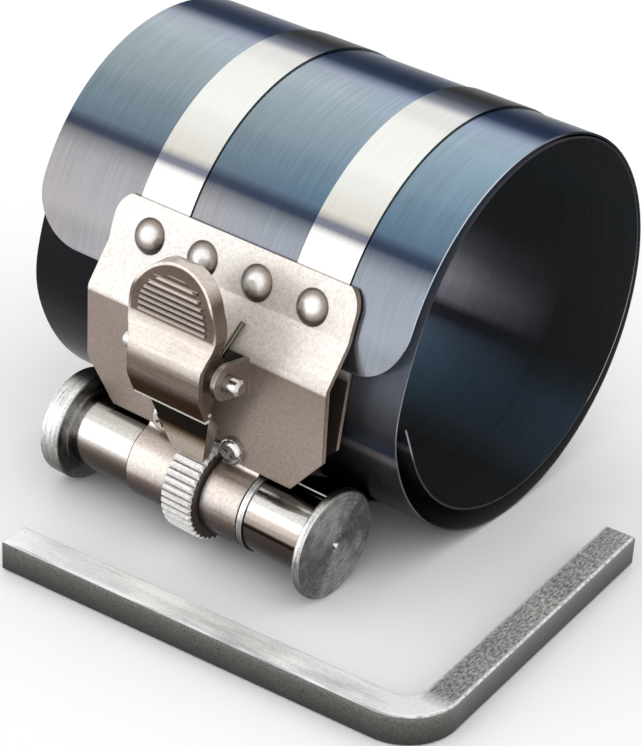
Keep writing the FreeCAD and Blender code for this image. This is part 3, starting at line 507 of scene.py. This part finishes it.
def thumb_pad(m, colour):
    """Cover's colour with its dished pad: brown, darker towards its top, with ribs painted as lit crests
    and shaded grooves across it.
    """
    parts = m.split(m.place_from(PAD_CENTRE))
    reach = m.length(parts[0], m.math("MAXIMUM", parts[2], 0.0))
    height = m.math("ADD", parts[2], PAD_DROP)
    on_pad = m.times(m.spread(reach, PAD_R + 0.0003, PAD_R + 0.0005, 1.0, 0.0),
                     m.spread(height, -0.0002, 0.0002))
    facing = m.spread(m.split(m.normal)[1], -0.85, -0.7, 1.0, 0.0)
    ground = m.ramp(height, 0.0, PAD_R + PAD_DROP, [
        (0.0, (0.17, 0.125, 0.11)), (0.6, (0.13, 0.095, 0.08)), (1.0, (0.10, 0.075, 0.065))])

    row = m.math("DIVIDE", height, RIB_PITCH)
    in_rows = m.times(m.spread(row, FIRST_RIB, FIRST_RIB + 0.01),
                      m.spread(row, LAST_RIB, LAST_RIB + 0.01, 1.0, 0.0))
    ribbed = m.times(m.spread(reach, RIB_REACH, RIB_REACH + 0.0001, 1.0, 0.0), in_rows)
    # Painted light and shade of the ribs: a lit crest and a shaded groove in each pitch
    ribs = m.ramp(m.math("FRACT", m.math("SUBTRACT", row, 0.5)), 0.0, 1.0, [
        (0.0, (0.30, 0.25, 0.22)), (0.20, (0.55, 0.49, 0.45)), (0.40, (0.42, 0.36, 0.33)),
        (0.50, (0.075, 0.055, 0.045)), (0.85, (0.085, 0.06, 0.05)), (1.0, (0.25, 0.20, 0.18))])
    return m.mix(m.times(on_pad, facing), colour, m.mix(ribbed, ground, ribs))


def lever_sheet():
    """Thumb cover with a painted highlight along its hem, and the pawl below it in painted shade: near
    black under the cover, paler at its tip, brown sides.
    """
    m = Mat("lever_nickel")
    colour = plated_colour_and_painted_shade(m, (0.72, 0.67, 0.632), (0.21, 0.17, 0.15), LEVER_PAINTED_SHADING)
    brushed = m.grain(m.place, (150.0, 2500.0, 2500.0))
    colour = thumb_pad(m, m.shaded(colour, m.spread(brushed, *NOISE_RANGE, 0.86, 1.14)))

    above_edge = m.math("SUBTRACT", m.split(m.place)[2], COVER_LOW_Z)
    on_cover = m.spread(above_edge, -0.0001, 0.0)
    # Painted highlight along the cover's hem
    hem = m.times(on_cover, m.spread(above_edge, 0.00042, 0.00066, 1.0, 0.0))
    cover = m.mix(hem, colour, (0.95, 0.95, 0.92))
    # Painted shade on the pawl: near black where it goes under the cover, paler towards its tip
    pawl = m.ramp(above_edge, *PAWL_BELOW, [
        (0.0, (0.62, 0.55, 0.48)), (0.4, (0.42, 0.33, 0.25)), (0.75, (0.14, 0.10, 0.07)),
        (1.0, (0.028, 0.026, 0.024))])
    colour = m.mix(on_cover, m.ends(pawl, (0.24, 0.19, 0.16)), cover)
    m.set("Specular Tint", (0.40, 0.36, 0.33))
    faces_front = m.spread(m.split(m.normal)[1], -0.7, -0.45, 1.0, SATIN)
    return plate_finish(m, colour, 0.22, 0.0002, metallic=faces_front)


def rivet_nickel():
    """Polished domes: a painted highlight in the middle, and painted shade, brown to near black, towards
    the rim.
    """
    m = Mat("rivet_nickel")
    dome = m.ramp(m.vector("DOT_PRODUCT", m.normal, RIVET_HIGHLIGHT_AIM), 0.4, 1.0, [
        (0.0, (0.010, 0.007, 0.005)), (0.28, (0.028, 0.019, 0.014)), (0.48, (0.085, 0.062, 0.048)),
        (0.62, (0.25, 0.205, 0.175)), (0.78, (0.42, 0.365, 0.325)), (0.87, (0.78, 0.73, 0.69)),
        (0.93, (1.0, 0.99, 0.98))])
    return plate_finish(m, dome, 0.20, metallic=SATIN)


def toothed_wheel():
    """Bright teeth with painted shade in their roots and on faces turned down, and painted shade on the
    flat sides.
    """
    m = Mat("wheel_nickel")
    parts = m.split(m.place_from(SHAFT_LINE))
    depth = m.ramp(m.length(parts[1], parts[2]), WHEEL_ROOT_R, WHEEL_TIP_R, [
        (0.0, (0.20, 0.185, 0.17)), (0.15, (0.50, 0.47, 0.45)), (0.35, (0.92, 0.90, 0.88)),
        (0.8, (1.0, 0.99, 0.98))])
    painted_shade_below = m.spread(m.split(m.normal)[2], -0.98, -0.75, 0.4, 1.0)
    grit = m.spread(m.noise(m.place, 1400.0, 3.0, 0.7), *NOISE_RANGE, 0.8, 1.15)
    colour = m.ends(m.shaded(depth, m.times(painted_shade_below, grit)), (0.060, 0.052, 0.046))
    return plate_finish(m, colour, 0.30, metallic=0.15)


def turned_steel():
    """Turned bar: rings and painted reflections, two light fans, on its dull end faces; painted light and
    shade by facing on what is round.
    """
    m = Mat("turned_steel")
    parts = m.split(m.place_from(SHAFT_LINE))
    radius = m.length(parts[1], parts[2])
    angle = m.math("ARCTAN2", parts[2], parts[1])
    rings = m.grain(m.join(radius, parts[0], angle), (3800.0, 3800.0, 1.2), 3.0, 0.65)
    grit = m.noise(m.place, 2200.0, 3.0, 0.7)
    fans = m.math("COSINE", m.times(m.math("SUBTRACT", angle, FAN_SLANT), 2.0))
    fans = m.math("ADD", fans, m.spread(m.noise(m.place, 420.0), *NOISE_RANGE, -0.7, 0.7))
    face = m.mix(m.spread(fans, -0.9, 1.1), (0.105, 0.102, 0.104), (0.36, 0.355, 0.35))
    colour = m.ends(m.round_x(m.normal, TURNED_PAINTED_SHADING), face, (0.80, 0.97))
    colour = m.shaded(colour, m.spread(m.weighted(rings, grit, 0.6), 0.36, 0.64, 0.50, 1.50))
    m.bump(rings, 0.35, 0.00003)
    return m.finish(colour, m.spread(grit, *NOISE_RANGE, 0.30, 0.42))


def key_long_arm(m, key, streaks, patch):
    """Top of the long arm: drawn streaks and drifting patches, paler at its far end."""
    light = m.shaded((0.78, 0.78, 0.77), m.spread(streaks, *NOISE_RANGE, 0.84, 1.16))
    light = m.shaded(light, m.spread(patch, *NOISE_MIDDLE, 0.72, 1.32))
    far_end = m.spread(m.split(key)[0], *FAR_END_X, 1.0, 0.0)
    return m.mix(m.times(far_end, 0.6), light, WHITE)


def key_short_arm(m, key, patch):
    """Top of the short arm: dark and light speckle between two painted highlight lines along its corners.
    """
    speckle = m.spread(m.grain(key, (2600.0, 1000.0, 0.0), 3.0, 0.7), 0.36, 0.68)
    colour = m.mix(speckle, (0.12, 0.12, 0.115), (0.68, 0.68, 0.66))
    colour = m.shaded(colour, m.spread(patch, *NOISE_MIDDLE, 0.75, 1.25))
    # Painted highlight lines along both corners of the top
    off_middle = m.math("ABSOLUTE", m.math("ADD", m.split(key)[0], KEY_SIDE / 2.0))
    by_corners = m.spread(off_middle, KEY_SIDE * 0.38, KEY_SIDE * 0.44, 0.0, 0.75)
    return m.mix(by_corners, colour, (0.80, 0.80, 0.78))


def zinc_bar():
    """Drawn square bar of the key: a light top, a painted white highlight at the bend, sides in painted
    shade that darkens towards the floor, and painted highlights on the corners.
    """
    m = Mat("zinc_bar")
    key = m.turned(m.place_from(KEY_CORNER), "Z_AXIS", -KEY_TURN)
    parts = m.split(key)
    streaks = m.grain(key, (90.0, 900.0, 1500.0))
    patch = m.grain(key, (45.0, 45.0, 0.0), 2.0, 0.5)
    grit = m.noise(m.place, 3000.0, 3.0, 0.8)

    on_long = m.spread(parts[0], *LONG_ARM_X, 1.0, 0.0)
    on_short = m.spread(parts[1], *SHORT_ARM_Y)
    # The bend, where neither arm lies, is a painted white highlight
    top = m.mix(on_long, (1.0, 1.0, 0.99), key_long_arm(m, key, streaks, patch))
    top = m.mix(on_short, top, key_short_arm(m, key, patch))
    top = m.shaded(top, m.spread(grit, *NOISE_RANGE, 0.85, 1.15))

    # Painted shade on the sides, darker towards the floor
    side = m.ramp(parts[2], KEY_LOW_Z, KEY_LOW_Z + KEY_SIDE, [
        (0.0, (0.025, 0.025, 0.022)), (0.35, (0.050, 0.050, 0.045)), (0.75, (0.095, 0.095, 0.088)),
        (0.93, (0.16, 0.16, 0.15))])
    side = m.shaded(side, m.spread(grit, *NOISE_RANGE, 0.35, 1.7))

    up = m.split(m.normal)[2]
    # Painted highlight on the rounded corners between the top and the sides
    painted_corner_highlight = m.spread(streaks, 0.35, 0.6, 0.35, 0.85)
    colour = m.mix(m.spread(up, 0.90, 0.985), m.join(painted_corner_highlight, painted_corner_highlight, painted_corner_highlight), top)
    colour = m.mix(m.spread(up, 0.25, 0.60), side, colour)
    m.bump(grit, 0.25, 0.00002)
    return m.finish(colour, m.spread(grit, *NOISE_RANGE, 0.30, 0.45), 0.3)


looks = [
    (blued_steel(), ["compression_sleeve"]),
    (bright_band(), ["left_tension_band", "right_tension_band"]),
    (plate_sheet(), ["front_plate", "back_plate"]),
    (lever_sheet(), ["thumb_cover", "pawl_lever"]),
    (rivet_nickel(), ["plate_rivets"]),
    (plated("screw_zinc", (0.92, 0.92, 0.92), (0.55, 0.55, 0.56), 0.14, edge=0.0001, contrast=0.6),
     ["clamp_screws", "clamp_nuts", "pivot_pin"]),
    (toothed_wheel(), ["ratchet_wheel"]),
    (winding(), ["left_band_winding", "right_band_winding"]),
    (plated("spring_wire", (0.24, 0.23, 0.19), (0.5, 0.5, 0.5), 0.25), ["pawl_spring"]),
    (turned_steel(), ["winding_shaft", "left_drive_head", "right_head", "left_collar", "right_washer"]),
    (zinc_bar(), ["square_key"]),
]
for material, names in looks:
    for name in names:
        nodes[name].data.materials.clear()
        nodes[name].data.materials.append(material)

# The spring's coil twists as the lever swings, one leg on the plate and the other with the lever;
# here the spring gets its own copy of the mesh, and the part is hidden
spring = bpy.data.objects.new("twisting_spring", nodes["pawl_spring"].data.copy())
scene.collection.objects.link(spring)
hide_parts("pawl_spring")
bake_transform(spring)


def floor_material():
    """Pale dull floor, which takes the object's shadow."""
    mat = bpy.data.materials.new("pale_floor")
    mat.use_nodes = True
    shader = mat.node_tree.nodes["Principled BSDF"]
    shader.inputs["Base Color"].default_value = (0.98, 0.98, 0.98, 1.0)
    shader.inputs["Roughness"].default_value = 0.8
    shader.inputs["Specular IOR Level"].default_value = 0.0
    return mat


def lay_floor():
    """Wide square floor, laid just under the object."""
    corners = [(FLOOR_HALF * x, FLOOR_HALF * y, 0.0) for x, y in ((-1, -1), (1, -1), (1, 1), (-1, 1))]
    mesh = bpy.data.meshes.new("floor")
    mesh.from_pydata(corners, [], [(0, 1, 2, 3)])
    mesh.materials.append(floor_material())
    obj = bpy.data.objects.new("floor", mesh)
    scene.collection.objects.link(obj)
    obj.matrix_world = Matrix.Translation(Vector((0.0, 0.0, FLOOR_Z)))


def studio_world():
    """Even white surroundings, seen as plain white by the camera and in mirrors and glass."""
    world = bpy.data.worlds.new("studio")
    world.use_nodes = True
    tree = world.node_tree
    tree.nodes.clear()
    path = tree.nodes.new("ShaderNodeLightPath")
    seen = path.outputs["Is Camera Ray"]
    for ray in ("Is Glossy Ray", "Is Transmission Ray"):
        either = tree.nodes.new("ShaderNodeMath")
        either.operation = "MAXIMUM"
        tree.links.new(seen, either.inputs[0])
        tree.links.new(path.outputs[ray], either.inputs[1])
        seen = either.outputs[0]
    blend = tree.nodes.new("ShaderNodeMixShader")
    tree.links.new(seen, blend.inputs[0])
    for socket, strength in zip(blend.inputs[1:3], (SOFT_LIGHT, PLAIN_WHITE)):
        light = tree.nodes.new("ShaderNodeBackground")
        light.inputs["Color"].default_value = (1.0, 1.0, 1.0, 1.0)
        light.inputs["Strength"].default_value = strength
        tree.links.new(light.outputs[0], socket)
    out = tree.nodes.new("ShaderNodeOutputWorld")
    tree.links.new(blend.outputs[0], out.inputs["Surface"])
    return world


def lamp(name, place, size, power, colour=(1.0, 1.0, 1.0)):
    """Soft rectangular lamp that faces the bore's centre."""
    data = bpy.data.lights.new(name, "AREA")
    data.shape = "RECTANGLE"
    data.size, data.size_y = size
    data.energy = power
    data.color = colour
    obj = bpy.data.objects.new(name, data)
    scene.collection.objects.link(obj)
    obj.location = place
    obj.rotation_mode = "QUATERNION"
    obj.rotation_quaternion = (-Vector(place)).to_track_quat("-Z", "Y")


def photo_camera():
    """Camera at the photograph's viewing angle."""
    data = bpy.data.cameras.new("camera")
    data.sensor_fit = "AUTO"
    data.sensor_width = SENSOR_MM
    data.lens = FOCAL_PIXELS / PHOTO_HEIGHT_PIXELS * SENSOR_MM
    data.clip_start = 0.01
    data.clip_end = 20.0
    camera = bpy.data.objects.new("camera", data)
    scene.collection.objects.link(camera)
    level = math.cos(ELEVATION)
    back = Vector((math.sin(AZIMUTH) * level, -math.cos(AZIMUTH) * level, math.sin(ELEVATION)))
    right = Vector((math.cos(AZIMUTH), math.sin(AZIMUTH), 0.0))
    up = back.cross(right)
    rolled_right = math.cos(ROLL) * right + math.sin(ROLL) * up
    rolled_up = math.cos(ROLL) * up - math.sin(ROLL) * right
    turn = Matrix((rolled_right, rolled_up, back)).transposed().to_4x4()
    camera.matrix_world = Matrix.Translation(Vector(CAMERA_PLACE)) @ turn
    return camera


lay_floor()
scene.world = studio_world()
lamp("overhead", (-0.42, 0.15, 0.68), (0.55, 0.55), 0.20)
lamp("left_front", (-0.40, -0.62, 0.20), (0.42, 0.55), 0.42, (1.0, 0.98, 0.95))
scene.camera = photo_camera()
scene.view_settings.view_transform = "Standard"
